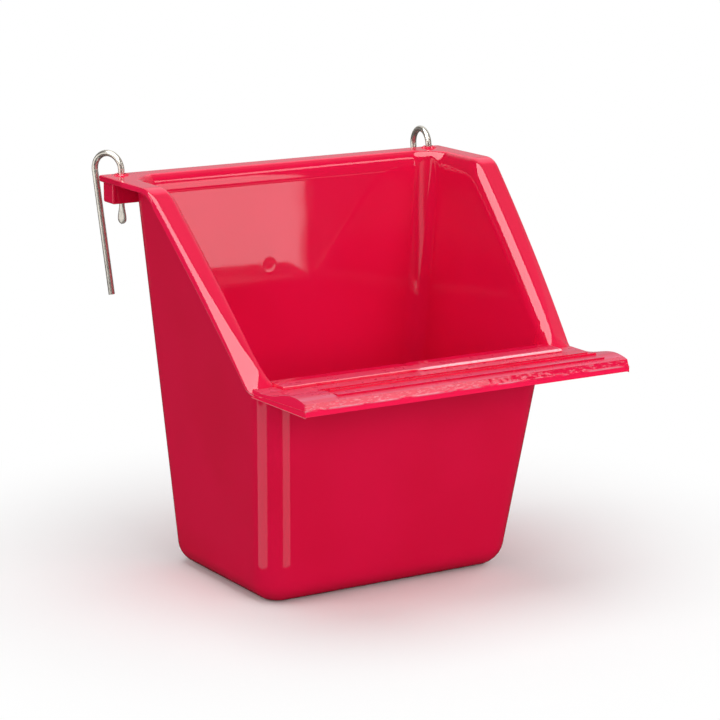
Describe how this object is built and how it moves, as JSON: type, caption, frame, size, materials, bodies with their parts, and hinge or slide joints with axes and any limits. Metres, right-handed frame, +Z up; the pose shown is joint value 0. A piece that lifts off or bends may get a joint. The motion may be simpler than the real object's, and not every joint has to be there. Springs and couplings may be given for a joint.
{
  "type": "hanging feeder bowl",
  "caption": "Tapered plastic feeder bowl with a sloping rim, a ribbed front perch and swivelling wire hooks that hang it on a cage wall.",
  "frame": {"origin": "middle of the flat base, on the surface that the bowl stands on", "axes": "+Z up, -Y towards the perch at the front, +X to the right seen from the front"},
  "size_m": [0.1008, 0.0992, 0.1059],
  "materials": {
    "red_plastic": "glossy moulded polypropylene, slightly waxy",
    "nickel_wire": "bright nickel-plated drawn steel wire"
  },
  "bodies": {
    "bowl": {"bowl": "red_plastic"},
    "left_hook": {"left_hook": "nickel_wire"},
    "right_hook": {"right_hook": "nickel_wire"}
  },
  "joints": [
    {"name": "left_hook_swivel", "type": "hinge", "parent": "bowl", "child": "left_hook", "pos_m": [-0.0455, 0.0295, 0.1], "axis": [0, 0, 1], "range_deg": [-80, 97]},
    {"name": "right_hook_swivel", "type": "hinge", "parent": "bowl", "child": "right_hook", "pos_m": [0.0455, 0.0295, 0.1], "axis": [0, 0, 1], "range_deg": [-120, 56]}
  ]
}
